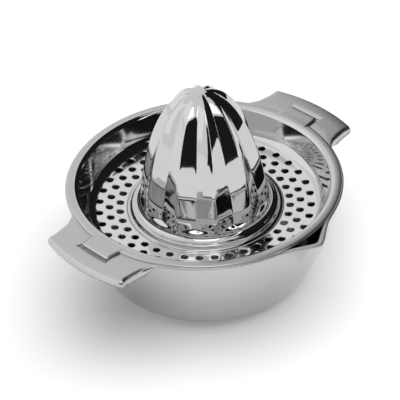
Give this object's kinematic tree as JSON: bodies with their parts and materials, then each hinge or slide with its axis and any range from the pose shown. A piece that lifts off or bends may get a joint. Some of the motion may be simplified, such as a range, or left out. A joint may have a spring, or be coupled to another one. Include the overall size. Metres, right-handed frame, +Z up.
{
  "type": "citrus juicer",
  "caption": "Two-part stainless steel hand juicer: a pouring bowl with side handles and a lift-off perforated strainer with a fluted reamer cone.",
  "frame": {"origin": "centre of the bowl's flat base, on the surface it stands on", "axes": "+Z up, X along the two handles, the pouring spout towards -Y"},
  "size_m": [0.1648, 0.1393, 0.1015],
  "materials": {
    "bowl_steel": "polished stainless steel, satin on the handles",
    "strainer_steel": "mirror-polished stainless steel, slightly softer on the perforated floor"
  },
  "bodies": {
    "bowl": {"bowl": "bowl_steel"},
    "strainer": {"strainer": "strainer_steel"}
  },
  "joints": [
    {"name": "strainer_lift", "type": "slide", "parent": "bowl", "child": "strainer", "axis": [0, 0, 1], "range_m": [0, 0.06]}
  ]
}
